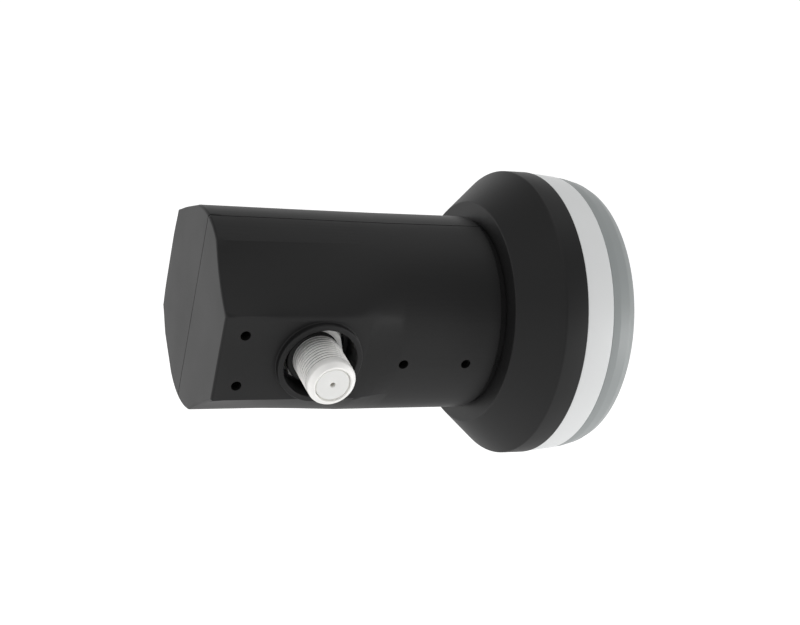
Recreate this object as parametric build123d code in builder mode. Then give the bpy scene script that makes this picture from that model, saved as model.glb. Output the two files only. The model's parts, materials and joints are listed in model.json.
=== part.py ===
from build123d import *
import os
from math import sqrt

# Satellite LNB, in millimetres.
# X runs along the boresight towards the horn, -Y is the way the F connector points and Z lies in the
# housing's parting plane. The origin is on the boresight axis, halfway along the round neck that a
# dish's feed clamp grips. "Depth" below is a distance from the boresight axis towards the connector.

# Housing: a round neck that swells into a rear with flats and scooped sides
neck_radius = 20.0
neck_length = 22.0
body_length = 58.7
flat_distance = 19.35
front_flat_top = 9.6
front_flat_bottom = 8.6
flat_setback = 29.6
back_flat_distance = 20.1
back_flat_half = 11.9
back_corner = (19.0, 7.3)
scoop_corner = (18.75, 7.0)
scoop_depth = 0.95
lower_scoop_depth = 0.2
side_bulge = 1.5
rear_edge_radius = 0.5
wall = 2.0
seam_gap = 0.2
lip_reach = 1.6
lip_clearance = 0.1
rib_thickness = 1.6
rib_setbacks = (31.0, 15.0)

# Collar around the connector, and the weep holes beside it
connector_setback = 38.85
collar_radius = 8.4
collar_height = 1.25
collar_edge_radius = 0.2
collar_hole_radius = 7.3
weep_radius = 1.0
rear_weep_setback = 4.45
rear_weep_heights = (5.45, -5.45)
neck_weep_setbacks = (21.3, 7.8)
neck_weep_height = -0.6

# Flare, ring and cap around the horn
rim_radius = 29.9
shoulder_step = 3.15
flare_length = 7.75
band_length = 4.85
shroud_wall = 2.0
shroud_edge_radius = 0.5
neck_socket = 3.0
ring_length = 6.25
ring_step = 0.1
ring_taper = 0.5
ring_wall = 2.8
ring_spigot_length = 3.4
ring_edge_radius = 0.3
cap_step = 0.1
cap_taper = 1.6
cap_length = 6.0
cap_dome = 1.2
cap_edge_radius = 0.6
cap_wall = 2.0
skirt_wall = 1.6
skirt_length = 6.0

# Casting: circular waveguide, ringed horn and board tray
bore_radius = 8.75
waveguide_wall = 1.0
back_wall = 2.0
backshort_setback = 31.5
flange_length = 4.0
horn_rim_wall = 1.8
horn_length = 15.0
horn_floor_wall = 2.4
choke_gap = 5.6
choke_ring_wall = 1.8
choke_drop = 1.5
seal_section = 0.8
tray_thickness = 1.6
tray_half_width = 12.8
rail_height = 4.0
rail_thickness = 1.6
spine_height = 10.0

# Probes in the waveguide
vertical_probe_setback = 11.5
rod_setback = 18.5
horizontal_probe_setback = 24.5
probe_tip = 3.4
vertical_probe_radius = 0.6
horizontal_probe_radius = 0.3
probe_bend = 0.5
probe_gap = 0.1
rod_radius = 0.6
bush_radius = 2.0
solder_height = 0.4

# Circuit board and its shield
board_thickness = 0.8
board_half_width = 11.7
board_end_gap = 1.5
gasket_thickness = 0.3
cover_height = 2.1
cover_roof = 0.8
cover_wall = 1.2
cover_chamfer = 1.5
divider_offset = 6.0
divider_thickness = 0.8
screw_radius = 0.9
screw_head_radius = 1.8
screw_head_height = 1.1
screw_depth = 3.6
screw_post_radius = 2.2
screw_inset = 3.8
screw_mid_offset = 9.5
tuning_radius = 1.5
tuning_length = 1.6
tuning_slot = 0.4
puck_radius = 2.7
puck_height = 1.2
puck_offsets = ((-1.5, -6.8), (-9.0, -6.8))
transistor_size = (1.8, 1.8, 0.7)
transistor_offsets = ((3.0, 3.2), (-3.0, 4.8), (-9.5, 7.4))
chip_size = (4.0, 4.0, 0.9)
chip_offset = (-8.5, 0.5)
regulator_size = (4.5, 2.5, 1.5)
regulator_offset = (-6.0, 0.0)
capacitor_size = (1.6, 0.8, 0.8)
capacitor_offsets = ((-6.0, 3.2), (-6.0, -3.2), (-1.5, 7.5), (-1.5, -7.5), (3.0, 7.5), (11.0, 2.5))

# F connector
thread_radius = 4.76
thread_length = 8.4
nose_radius = 4.7
nose_length = 3.05
nose_chamfer = 0.5
hex_across_flats = 12.4
hex_turn = 42.0
hex_height = 3.25
shank_radius = 4.4
shank_length = 0.7
insulator_radius = 3.4
insulator_recess = 0.15
mouth_radius = 0.5
mouth_length = 1.2
contact_radius = 1.0
contact_bore_radius = 0.45
contact_bore_depth = 7.5
contact_foot_depth = 14.0
pin_radius = 0.5
seal_ring_inset = 0.2
seal_ring_height = 0.4
fit = 0.1
small_fit = 0.05

# Places along the boresight
shoulder_x = neck_length / 2
rear_x = shoulder_x - body_length
swell_x = shoulder_x - neck_length
flat_end_x = shoulder_x - flat_setback
neck_end_x = shoulder_x + neck_socket
rim_x = shoulder_x + flare_length
band_end_x = rim_x + band_length
ring_end_x = band_end_x + ring_length
cap_edge_x = ring_end_x + cap_length
cap_front_x = cap_edge_x + cap_dome
connector_x = shoulder_x - connector_setback
backshort_x = shoulder_x - backshort_setback
vertical_probe_x = shoulder_x - vertical_probe_setback
rod_x = shoulder_x - rod_setback
horizontal_probe_x = shoulder_x - horizontal_probe_setback
divider_x = connector_x + divider_offset
screw_mid_x = connector_x + screw_mid_offset
weep_places = [(rear_x + rear_weep_setback, z) for z in rear_weep_heights]
weep_places += [(shoulder_x - setback, neck_weep_height) for setback in neck_weep_setbacks]

# Radii that seat one piece in another
flange_radius = neck_radius - wall - fit
step_radius = neck_radius - small_fit
socket_radius = neck_radius + fit
shoulder_radius = neck_radius + shoulder_step
flare_slope = (rim_radius - shoulder_radius) / flare_length
shroud_bore_radius = rim_radius - shroud_wall
ring_spigot_radius = shroud_bore_radius - fit
ring_radius = rim_radius - ring_step
ring_front_radius = ring_radius - ring_taper
ring_bore_radius = ring_front_radius - ring_wall
skirt_radius = ring_bore_radius - fit
cap_radius = ring_front_radius - cap_step
cap_front_radius = cap_radius - cap_taper
horn_radius = skirt_radius - skirt_wall - fit
choke_ring_radius = horn_radius - horn_rim_wall - choke_gap
tube_radius = bore_radius + waveguide_wall

# Depths towards the connector, from the axis outwards
board_seat = tube_radius
board_top = board_seat + board_thickness
cover_seat = board_top + gasket_thickness
cover_top = cover_seat + cover_height
hex_foot = cover_top + seal_ring_height
hex_top = hex_foot + hex_height
thread_top = hex_top + thread_length
nose_top = thread_top + nose_length
collar_top = flat_distance + collar_height
board_front_x = shoulder_x - flange_length + neck_socket - board_end_gap
board_rear_x = rear_x + wall + board_end_gap
board_mid_x = (board_front_x + board_rear_x) / 2
board_length = board_front_x - board_rear_x
puck_places = [(vertical_probe_x + x, z) for x, z in puck_offsets]
screw_z = board_half_width - screw_inset
screw_places = [
    (x, z)
    for x in (board_rear_x + screw_inset, screw_mid_x, board_front_x - screw_inset)
    for z in (screw_z, -screw_z)
]
connector_axis = Axis((connector_x, 0, 0), (0, -1, 0))


def facing(depth, x=0.0, z=0.0):
    """A plane at a depth, facing the connector's way, with X and Z as its own two axes."""
    return Plane(origin=(x, -depth, z), x_dir=(1, 0, 0), z_dir=(0, -1, 0))


# The rear section's corners, as Z and depth, from the upper front corner round by the lower side,
# and how far each side after a corner bows outwards.
rear_corners = (
    (front_flat_top, flat_distance),
    (-front_flat_bottom, flat_distance),
    (-scoop_corner[0], scoop_corner[1]),
    (-back_corner[0], -back_corner[1]),
    (-back_flat_half, -back_flat_distance),
    (back_flat_half, -back_flat_distance),
    (back_corner[0], -back_corner[1]),
    scoop_corner,
)
rear_bows = (0, -lower_scoop_depth, side_bulge, 0, 0, 0, side_bulge, -scoop_depth)


def rear_outline(inset):
    """The rear section's corners on the YZ plane, with every side moved inwards."""
    corners = [Vector(-depth, z) for z, depth in rear_corners]
    moved = []
    for before, corner, after in zip(corners[-1:] + corners[:-1], corners, corners[1:] + corners[:1]):
        first = (corner - before).normalized().rotate(Axis.Z, -90)
        second = (after - corner).normalized().rotate(Axis.Z, -90)
        moved.append(corner - (first + second) * (inset / (1 + first.dot(second))))
    return moved


def neck_outline(inset):
    """Points on the neck's circle that face the rear section's corners."""
    return [Vector(-depth, z).normalized() * (neck_radius - inset) for z, depth in rear_corners]


def section(x, corners, bows):
    """A face across the boresight, with sides that are straight or bow between its corners."""
    with BuildSketch(Plane.YZ.offset(x)) as face:
        with BuildLine():
            for start, end, bow in zip(corners, corners[1:] + corners[:1], bows):
                if bow:
                    SagittaArc(start, end, -bow)
                else:
                    Line(start, end)
        make_face()
    return face.sketch


def between(first, second, share):
    """Values part of the way from those in one list to those in another."""
    return [start + (end - start) * share for start, end in zip(first, second)]


def body_form(inset):
    """The housing's outer form, or the same form with every wall moved inwards."""
    radius = neck_radius - inset
    rear = rear_outline(inset)
    neck = neck_outline(inset)
    neck_bows = [
        radius - sqrt(radius**2 - (end - start).length ** 2 / 4)
        for start, end in zip(neck, neck[1:] + neck[:1])
    ]
    share = (flat_end_x - rear_x) / (swell_x - rear_x)
    middle = rear[:2] + between(rear, neck, share)[2:]
    middle_bows = [0] + between(rear_bows, neck_bows, share)[1:]
    with BuildPart() as form:
        loft(
            [
                section(rear_x + inset, rear, rear_bows),
                section(flat_end_x, middle, middle_bows),
                section(swell_x, neck, neck_bows),
            ],
            ruled=True,
        )
        with BuildSketch(Plane.YZ.offset(swell_x)):
            Circle(radius)
        extrude(amount=neck_end_x - swell_x)
    return form.part


def seam_lip(outer_inset):
    """The inner part of the wall in a band at the seam, from the seam towards the connector."""
    with BuildPart() as lip:
        add(body_form(outer_inset))
        add(body_form(wall), mode=Mode.SUBTRACT)
        with BuildSketch(facing(-seam_gap / 2)):
            Rectangle(4 * body_length, 4 * rim_radius)
        extrude(amount=lip_reach + seam_gap / 2, mode=Mode.INTERSECT)
    return lip.part


# Front shell: the half with the connector's collar and the weep holes
with BuildPart() as front_shell:
    add(body_form(0))
    fillet(front_shell.faces().sort_by(Axis.X)[0].edges(), rear_edge_radius)
    add(body_form(wall), mode=Mode.SUBTRACT)
    split(bisect_by=facing(seam_gap / 2), keep=Keep.TOP)
    add(seam_lip(wall / 2 - lip_clearance), mode=Mode.SUBTRACT)
    with BuildSketch(facing(flat_distance - 2 * wall, connector_x)):
        Circle(collar_hole_radius)
    extrude(amount=3 * wall, mode=Mode.SUBTRACT)
    with BuildSketch(Plane.XY) as collar_profile:
        with BuildLine():
            Polyline(
                (connector_x + collar_radius, wall / 2 - flat_distance),
                (connector_x + collar_hole_radius, wall / 2 - flat_distance),
                (connector_x + collar_hole_radius, -collar_top),
                (connector_x + collar_radius, -collar_top),
                close=True,
            )
        make_face()
        fillet(collar_profile.vertices().group_by(Axis.Y)[0], collar_edge_radius)
    revolve(axis=connector_axis)
    with BuildSketch(facing(flat_distance - 3 * wall)):
        with Locations(*weep_places):
            Circle(weep_radius)
    extrude(amount=4 * wall, mode=Mode.SUBTRACT)

# Back shell: the other half, with the seam's lip and two saddle ribs under the waveguide
with BuildPart() as saddles:
    for setback in rib_setbacks:
        with BuildSketch(Plane.YZ.offset(shoulder_x - setback)):
            with Locations((neck_radius, 0)):
                Rectangle(2 * (neck_radius - wall), 4 * neck_radius)
        extrude(amount=rib_thickness)
    add(body_form(wall / 2), mode=Mode.INTERSECT)
    with BuildSketch(Plane.YZ.offset(rear_x)):
        Circle(tube_radius + fit)
    extrude(amount=body_length, mode=Mode.SUBTRACT)

with BuildPart() as back_shell:
    add(body_form(0))
    fillet(back_shell.faces().sort_by(Axis.X)[0].edges(), rear_edge_radius)
    add(body_form(wall), mode=Mode.SUBTRACT)
    split(bisect_by=facing(-seam_gap / 2), keep=Keep.BOTTOM)
    add(seam_lip(wall / 2))
    add(saddles.part)

# Horn shroud: collar on the neck, flare and band
with BuildPart() as horn_shroud:
    flare_wall = shroud_wall * sqrt(1 + flare_slope**2)
    inner_rim_x = rim_x + (flare_wall - shroud_wall) / flare_slope
    with BuildSketch(Plane.XY) as shroud_profile:
        with BuildLine():
            Polyline(
                (shoulder_x, socket_radius),
                (shoulder_x, shoulder_radius),
                (rim_x, rim_radius),
                (band_end_x, rim_radius),
                (band_end_x, shroud_bore_radius),
                (inner_rim_x, shroud_bore_radius),
                (neck_end_x, shoulder_radius + flare_slope * neck_socket - flare_wall),
                (neck_end_x, socket_radius),
                close=True,
            )
        make_face()
        outer_corners = shroud_profile.vertices().filter_by(lambda v: v.Y > shoulder_radius - small_fit)
        fillet(outer_corners.sort_by(Axis.X)[0], shroud_edge_radius)
        fillet(shroud_profile.vertices().sort_by_distance((rim_x, rim_radius))[0], shroud_edge_radius)
    revolve(axis=Axis.X)

# Cap ring: white ring with a spigot in the shroud
with BuildPart() as cap_ring:
    with BuildSketch(Plane.XY) as ring_profile:
        with BuildLine():
            Polyline(
                (band_end_x - ring_spigot_length, ring_bore_radius),
                (band_end_x - ring_spigot_length, ring_spigot_radius),
                (band_end_x, ring_spigot_radius),
                (band_end_x, ring_radius),
                (ring_end_x, ring_front_radius),
                (ring_end_x, ring_bore_radius),
                close=True,
            )
        make_face()
        fillet(ring_profile.vertices().sort_by(Axis.Y)[-2:], ring_edge_radius)
    revolve(axis=Axis.X)

# Horn cap: tapered rim, shallow domed front and a skirt inside the ring
with BuildPart() as horn_cap:
    dome_radius = (cap_front_radius**2 + cap_dome**2) / (2 * cap_dome)
    hollow_radius = skirt_radius - skirt_wall
    hollow_front_x = cap_front_x - cap_wall
    hollow_edge_x = hollow_front_x - dome_radius + sqrt(dome_radius**2 - hollow_radius**2)
    with BuildSketch(Plane.XY) as cap_profile:
        with BuildLine():
            outside = Polyline(
                (hollow_edge_x, hollow_radius),
                (ring_end_x - skirt_length, hollow_radius),
                (ring_end_x - skirt_length, skirt_radius),
                (ring_end_x, skirt_radius),
                (ring_end_x, cap_radius),
                (cap_edge_x, cap_front_radius),
            )
            crown = TangentArc((cap_front_x, 0), outside @ 1, tangent=(0, 1))
            Line(crown @ 0, (hollow_front_x, 0))
            TangentArc((hollow_front_x, 0), outside @ 0, tangent=(0, 1))
        make_face()
        fillet(cap_profile.vertices().sort_by_distance((cap_edge_x, cap_front_radius))[0], cap_edge_radius)
    revolve(axis=Axis.X)

# Waveguide casting: tube, flange, ringed horn and board tray in one piece
horn_front_x = neck_end_x + small_fit + horn_length
horn_back_x = neck_end_x + small_fit
horn_corner_x = rim_x + shroud_wall
horn_floor_x = horn_corner_x
choke_front_x = horn_front_x - choke_drop
choke_floor_x = horn_floor_x - horn_floor_wall
seal_x = ring_end_x - skirt_length / 2
seal_radius = horn_radius - seal_section + small_fit
with BuildPart() as waveguide_casting:
    with BuildSketch(Plane.XY):
        with BuildLine():
            Polyline(
                (backshort_x - back_wall, 0),
                (backshort_x - back_wall, tube_radius),
                (neck_end_x - flange_length, tube_radius),
                (neck_end_x - flange_length, flange_radius),
                (horn_back_x, flange_radius),
                (horn_back_x, step_radius),
                (horn_corner_x, horn_radius),
                (horn_front_x, horn_radius),
                (horn_front_x, horn_radius - horn_rim_wall),
                (horn_floor_x, horn_radius - horn_rim_wall),
                (horn_floor_x, choke_ring_radius),
                (choke_front_x, choke_ring_radius),
                (choke_front_x, choke_ring_radius - choke_ring_wall),
                (choke_floor_x, choke_ring_radius - choke_ring_wall),
                (choke_floor_x, tube_radius),
                (choke_front_x, tube_radius),
                (choke_front_x, bore_radius),
                (backshort_x, bore_radius),
                (backshort_x, 0),
                close=True,
            )
        make_face()
    revolve(axis=Axis.X)
    with BuildSketch(Plane.XY):
        with Locations((seal_x, horn_radius)):
            Rectangle(2 * (seal_section + fit), 4 * seal_section)
    revolve(axis=Axis.X, mode=Mode.SUBTRACT)
    tray_front_x = neck_end_x - flange_length
    with BuildSketch(facing(board_seat - tray_thickness)):
        with Locations((board_mid_x, 0)):
            Rectangle(board_length, 2 * tray_half_width)
        with Locations((board_front_x, 0)):
            Rectangle(2 * (tray_front_x - board_front_x), 2 * tray_half_width)
    extrude(amount=tray_thickness)
    with BuildSketch(facing(board_seat - tray_thickness)):
        for edge in (-1, 1):
            with Locations((board_mid_x, edge * (tray_half_width - rail_thickness / 2))):
                Rectangle(board_length, rail_thickness)
        with Locations(*screw_places):
            Circle(screw_post_radius)
    extrude(amount=-rail_height)
    spine_length = backshort_x - board_rear_x
    with BuildSketch(facing(board_seat - tray_thickness)):
        with Locations((board_rear_x + spine_length / 2, 0)):
            Rectangle(spine_length, rail_thickness)
    extrude(amount=-spine_height)
    with BuildSketch(Plane.YZ.offset(backshort_x)):
        Circle(bore_radius)
    extrude(amount=choke_front_x - backshort_x, mode=Mode.SUBTRACT)
    with BuildSketch(facing(board_seat)):
        with Locations(*screw_places):
            Circle(screw_radius + small_fit)
    extrude(amount=-screw_depth, mode=Mode.SUBTRACT)
    with BuildSketch(facing(board_seat, vertical_probe_x)):
        Circle(bush_radius + small_fit)
    extrude(amount=-board_seat / 2, mode=Mode.SUBTRACT)
    probe_z = tube_radius + probe_gap + horizontal_probe_radius
    with BuildSketch(facing(board_seat, horizontal_probe_x, probe_z)):
        Circle(horizontal_probe_radius + probe_gap)
    extrude(amount=-tray_thickness, mode=Mode.SUBTRACT)
    with BuildSketch(Plane.XY.offset(tube_radius)):
        with Locations((horizontal_probe_x, 0)):
            Circle(bush_radius + small_fit)
    extrude(amount=-tube_radius / 2, mode=Mode.SUBTRACT)
    with BuildSketch(Plane.XY):
        with Locations((rod_x, 0)):
            Circle(rod_radius + small_fit)
    extrude(amount=tube_radius, both=True, mode=Mode.SUBTRACT)

# Cap seal: O-ring in the groove of the horn's rim
with BuildPart() as cap_seal:
    with BuildSketch(Plane.XY):
        with Locations((seal_x, seal_radius)):
            Circle(seal_section)
    revolve(axis=Axis.X)

# Isolation rod across the waveguide, between the two probes
with BuildPart() as isolation_rod:
    with BuildSketch(Plane.XY):
        with Locations((rod_x, 0)):
            Circle(rod_radius)
    extrude(amount=tube_radius - small_fit, both=True)

# Vertical probe: a straight pin from the board to near the axis
with BuildPart() as vertical_probe:
    with BuildSketch(facing(board_top + solder_height, vertical_probe_x)):
        Circle(vertical_probe_radius)
    extrude(amount=probe_tip - board_top - solder_height)

# Horizontal probe: a wire down the tube's side, bent in through its wall
with BuildPart() as horizontal_probe:
    with BuildLine():
        FilletPolyline(
            (horizontal_probe_x, -board_top - solder_height, probe_z),
            (horizontal_probe_x, 0, probe_z),
            (horizontal_probe_x, 0, probe_tip),
            radius=probe_bend,
        )
    with BuildSketch(facing(board_top + solder_height, horizontal_probe_x, probe_z)):
        Circle(horizontal_probe_radius)
    sweep()

# Probe bushes: insulating sleeves where the probes pass the waveguide's wall
with BuildPart() as probe_bushes:
    with BuildSketch(facing(bore_radius, vertical_probe_x)):
        Circle(bush_radius)
        Circle(vertical_probe_radius + small_fit, mode=Mode.SUBTRACT)
    extrude(amount=waveguide_wall)
    with BuildSketch(Plane.XY.offset(bore_radius)):
        with Locations((horizontal_probe_x, 0)):
            Circle(bush_radius)
            Circle(horizontal_probe_radius + small_fit, mode=Mode.SUBTRACT)
    extrude(amount=waveguide_wall)

# Circuit board on the tray
with BuildPart() as circuit_board:
    with BuildSketch(facing(board_seat)):
        with Locations((board_mid_x, 0)):
            Rectangle(board_length, 2 * board_half_width)
        with Locations(*screw_places):
            Circle(screw_radius + fit, mode=Mode.SUBTRACT)
        with Locations((vertical_probe_x, 0)):
            Circle(vertical_probe_radius + small_fit, mode=Mode.SUBTRACT)
        with Locations((horizontal_probe_x, probe_z)):
            Circle(horizontal_probe_radius + small_fit, mode=Mode.SUBTRACT)
        with Locations((connector_x, 0)):
            Circle(pin_radius + small_fit, mode=Mode.SUBTRACT)
    extrude(amount=board_thickness)

# Shield gasket: frame between board and cover
with BuildPart() as shield_gasket:
    with BuildSketch(facing(board_top)):
        with Locations((board_mid_x, 0)):
            Rectangle(board_length, 2 * board_half_width)
            Rectangle(
                board_length - 2 * cover_wall, 2 * (board_half_width - cover_wall), mode=Mode.SUBTRACT
            )
    extrude(amount=gasket_thickness)

# Shield cover: lid with posts for its screws, a divider and tapped holes over the pucks
with BuildPart() as shield_cover:
    with BuildSketch(facing(cover_seat)):
        with Locations((board_mid_x, 0)):
            Rectangle(board_length, 2 * board_half_width)
    extrude(amount=cover_height)
    chamfer(shield_cover.faces().sort_by(Axis.Y)[0].edges().filter_by(Axis.X), cover_chamfer)
    with BuildSketch(facing(cover_seat)):
        with Locations((board_mid_x, 0)):
            Rectangle(board_length - 2 * cover_wall, 2 * (board_half_width - cover_wall))
        with Locations((divider_x, 0)):
            Rectangle(divider_thickness, 2 * board_half_width, mode=Mode.SUBTRACT)
        with Locations(*screw_places):
            Circle(screw_post_radius, mode=Mode.SUBTRACT)
    extrude(amount=cover_height - cover_roof, mode=Mode.SUBTRACT)
    with BuildSketch(facing(cover_seat)):
        with Locations(*screw_places):
            Circle(screw_radius + fit)
        with Locations(*puck_places):
            Circle(tuning_radius + small_fit)
        with Locations((connector_x, 0)):
            Circle(shank_radius + fit)
    extrude(amount=cover_height, mode=Mode.SUBTRACT)

# Shield screws: pan heads on the cover
with BuildPart() as shield_screws:
    with BuildSketch(facing(cover_top)):
        with Locations(*screw_places):
            Circle(screw_head_radius)
    extrude(amount=screw_head_height)
    fillet(shield_screws.faces().group_by(Axis.Y)[0].edges(), screw_head_height / 2)
    with BuildSketch(facing(cover_top)):
        with Locations(*screw_places):
            Circle(screw_radius)
    extrude(amount=board_seat - cover_top - screw_depth + fit)

# Tuning screws over the pucks
with BuildPart() as tuning_screws:
    with BuildSketch(facing(cover_top + screw_head_height / 2)):
        with Locations(*puck_places):
            Circle(tuning_radius)
    extrude(amount=-tuning_length)
    with BuildSketch(facing(cover_top + screw_head_height / 2)):
        with Locations(*puck_places):
            Rectangle(2 * tuning_radius, tuning_slot)
    extrude(amount=-tuning_slot, mode=Mode.SUBTRACT)

# Resonator pucks on the board
with BuildPart() as resonator_pucks:
    with BuildSketch(facing(board_top)):
        with Locations(*puck_places):
            Circle(puck_radius)
    extrude(amount=puck_height)


def packages(size, x, offsets):
    """Plain chip packages of one size, standing on the board around a place along it."""
    with BuildPart() as group:
        with BuildSketch(facing(board_top, x)):
            with Locations(*offsets):
                Rectangle(size[0], size[1])
        extrude(amount=size[2])
    return group


low_noise_transistors = packages(transistor_size, vertical_probe_x, transistor_offsets)
control_chip = packages(chip_size, vertical_probe_x, [chip_offset])
voltage_regulator = packages(regulator_size, connector_x, [regulator_offset])
chip_capacitors = packages(capacitor_size, connector_x, capacitor_offsets)

# Connector barrel: hexagonal flange, threaded length at its major diameter, and a plain nose
with BuildPart() as connector_barrel:
    with BuildSketch(facing(hex_foot, connector_x)):
        RegularPolygon(hex_across_flats / 2, 6, major_radius=False, rotation=hex_turn)
    extrude(amount=hex_height)
    with BuildSketch(facing(cover_top - shank_length, connector_x)):
        Circle(shank_radius)
    extrude(amount=shank_length + seal_ring_height)
    with BuildSketch(facing(hex_top, connector_x)):
        Circle(thread_radius)
    extrude(amount=thread_length)
    with BuildSketch(facing(thread_top, connector_x)):
        Circle(nose_radius)
    extrude(amount=nose_length)
    chamfer(connector_barrel.faces().sort_by(Axis.Y)[0].edges(), nose_chamfer)
    with BuildSketch(facing(cover_top - shank_length, connector_x)):
        Circle(insulator_radius + small_fit)
    extrude(amount=nose_top - cover_top + shank_length, mode=Mode.SUBTRACT)

# Connector insulator: sleeve that fills the barrel around the contact
insulator_top = nose_top - insulator_recess
mouth_depth = insulator_top - mouth_length
with BuildPart() as connector_insulator:
    with BuildSketch(facing(cover_top - shank_length, connector_x)):
        Circle(insulator_radius)
        Circle(contact_radius + small_fit, mode=Mode.SUBTRACT)
    extrude(amount=mouth_depth - cover_top + shank_length)
    with BuildSketch(facing(mouth_depth, connector_x)):
        Circle(insulator_radius)
        Circle(mouth_radius, mode=Mode.SUBTRACT)
    extrude(amount=mouth_length)

# Connector contact: socket for the plug's centre wire, on a pin that is soldered to the board
with BuildPart() as connector_contact:
    with BuildSketch(facing(contact_foot_depth, connector_x)):
        Circle(contact_radius)
    extrude(amount=mouth_depth - contact_foot_depth)
    with BuildSketch(facing(board_seat + fit, connector_x)):
        Circle(pin_radius)
    extrude(amount=contact_foot_depth - board_seat - fit)
    with BuildSketch(facing(mouth_depth, connector_x)):
        Circle(contact_bore_radius)
    extrude(amount=-contact_bore_depth, mode=Mode.SUBTRACT)

# Connector seal: rubber ring between the hexagonal flange and the shield cover
with BuildPart() as connector_seal:
    with BuildSketch(facing(cover_top, connector_x)):
        Circle(hex_across_flats / 2 - seal_ring_inset)
        Circle(shank_radius + small_fit, mode=Mode.SUBTRACT)
    extrude(amount=seal_ring_height)

pieces = {
    "front_shell": front_shell,
    "back_shell": back_shell,
    "horn_shroud": horn_shroud,
    "cap_ring": cap_ring,
    "horn_cap": horn_cap,
    "cap_seal": cap_seal,
    "waveguide_casting": waveguide_casting,
    "isolation_rod": isolation_rod,
    "vertical_probe": vertical_probe,
    "horizontal_probe": horizontal_probe,
    "probe_bushes": probe_bushes,
    "circuit_board": circuit_board,
    "shield_gasket": shield_gasket,
    "shield_cover": shield_cover,
    "shield_screws": shield_screws,
    "tuning_screws": tuning_screws,
    "resonator_pucks": resonator_pucks,
    "low_noise_transistors": low_noise_transistors,
    "control_chip": control_chip,
    "voltage_regulator": voltage_regulator,
    "chip_capacitors": chip_capacitors,
    "connector_barrel": connector_barrel,
    "connector_insulator": connector_insulator,
    "connector_contact": connector_contact,
    "connector_seal": connector_seal,
}

os.makedirs("parts", exist_ok=True)
for node, piece in pieces.items():
    piece.part.label = node
    export_step(piece.part, f"parts/{node}.step")
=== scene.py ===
"""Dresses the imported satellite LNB: shells, horn end, threaded F connector, inner parts and a white studio.

The pieces' sizes are in millimetres and are turned into metres where a mesh is made; finishes and studio are
in metres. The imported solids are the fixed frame: X runs along the boresight towards the horn, -Y is the way
the connector points and Z lies in the parting plane. A "depth" is a distance from the boresight towards the
connector.
"""

from __future__ import annotations

import json
import logging
import math
from dataclasses import dataclass
from enum import Enum
from typing import Any, Callable, Mapping, Sequence, Union

import bmesh
import bpy
from mathutils import Matrix, Vector

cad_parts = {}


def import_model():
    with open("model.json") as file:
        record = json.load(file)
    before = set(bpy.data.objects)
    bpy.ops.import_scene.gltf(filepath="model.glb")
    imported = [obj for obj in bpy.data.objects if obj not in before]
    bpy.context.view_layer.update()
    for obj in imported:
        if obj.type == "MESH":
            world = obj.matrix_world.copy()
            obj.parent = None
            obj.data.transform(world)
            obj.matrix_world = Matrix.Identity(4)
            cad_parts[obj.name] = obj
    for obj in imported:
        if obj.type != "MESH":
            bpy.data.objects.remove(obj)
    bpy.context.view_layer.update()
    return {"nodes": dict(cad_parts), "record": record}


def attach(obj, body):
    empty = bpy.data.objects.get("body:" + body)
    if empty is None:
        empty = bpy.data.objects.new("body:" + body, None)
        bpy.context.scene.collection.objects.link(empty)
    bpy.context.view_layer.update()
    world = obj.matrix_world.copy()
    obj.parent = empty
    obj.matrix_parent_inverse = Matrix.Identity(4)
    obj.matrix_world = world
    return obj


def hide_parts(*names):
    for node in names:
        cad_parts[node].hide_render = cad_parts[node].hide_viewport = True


MM = 0.001
BODY = "root"
WHITE = (1.0, 1.0, 1.0, 1.0)
FINE_WELD = 1e-7
WELD = 1e-6
log = logging.getLogger("lnb")

Colour = tuple[float, float, float]
Place = tuple[float, float, float]
Profile = Sequence[tuple[float, float]]
Mesh = bpy.types.Mesh
Shape = bmesh.types.BMesh
Socket = bpy.types.NodeSocket


class Slot(str, Enum):
    """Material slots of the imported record."""

    BLACK_HOUSING = "black_housing"
    WHITE_RING = "white_ring"
    GREY_CAP = "grey_cap"
    NICKEL_PLATE = "nickel_plate"
    WHITE_INSULATOR = "white_insulator"
    GOLD_PLATE = "gold_plate"
    BLACK_RUBBER = "black_rubber"
    DIE_CAST = "die_cast"
    STEEL = "steel"
    BOARD_LAMINATE = "board_laminate"
    CHIP_BODY = "chip_body"
    CERAMIC = "ceramic"


class Turn(Enum):
    """The axis that a turned profile goes round."""

    BORESIGHT = "boresight"
    CONNECTOR = "connector"


class LampKind(Enum):
    """The lamps that light the studio."""

    SOFTBOX = "AREA"
    GLOBE = "POINT"


@dataclass(frozen=True)
class Layout:
    """Places that the pieces share, in mm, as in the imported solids."""

    neck_length: float = 22.0
    neck_socket: float = 3.0
    flare_length: float = 7.75
    band_length: float = 4.85
    ring_length: float = 6.25
    cap_length: float = 6.0
    cap_dome: float = 1.2
    connector_setback: float = 38.85
    hex_top: float = 16.6
    thread_radius: float = 4.76
    thread_length: float = 9.6

    @property
    def shoulder(self) -> float:
        """Where the neck meets the flare."""
        return self.neck_length / 2

    @property
    def neck_end(self) -> float:
        """Where the shells end inside the flare."""
        return self.shoulder + self.neck_socket

    @property
    def rim(self) -> float:
        """Where the flare turns into the band."""
        return self.shoulder + self.flare_length

    @property
    def band_end(self) -> float:
        """Where the band meets the ring."""
        return self.rim + self.band_length

    @property
    def ring_end(self) -> float:
        """Where the ring meets the cap."""
        return self.band_end + self.ring_length

    @property
    def cap_edge(self) -> float:
        """Where the cap's rim turns into its front."""
        return self.ring_end + self.cap_length

    @property
    def cap_front(self) -> float:
        """The foremost point of the cap."""
        return self.cap_edge + self.cap_dome

    @property
    def connector(self) -> float:
        """The connector's axis."""
        return self.shoulder - self.connector_setback

    @property
    def thread_top(self) -> float:
        """The depth where the connector's thread ends."""
        return self.hex_top + self.thread_length


LAYOUT = Layout()


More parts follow.
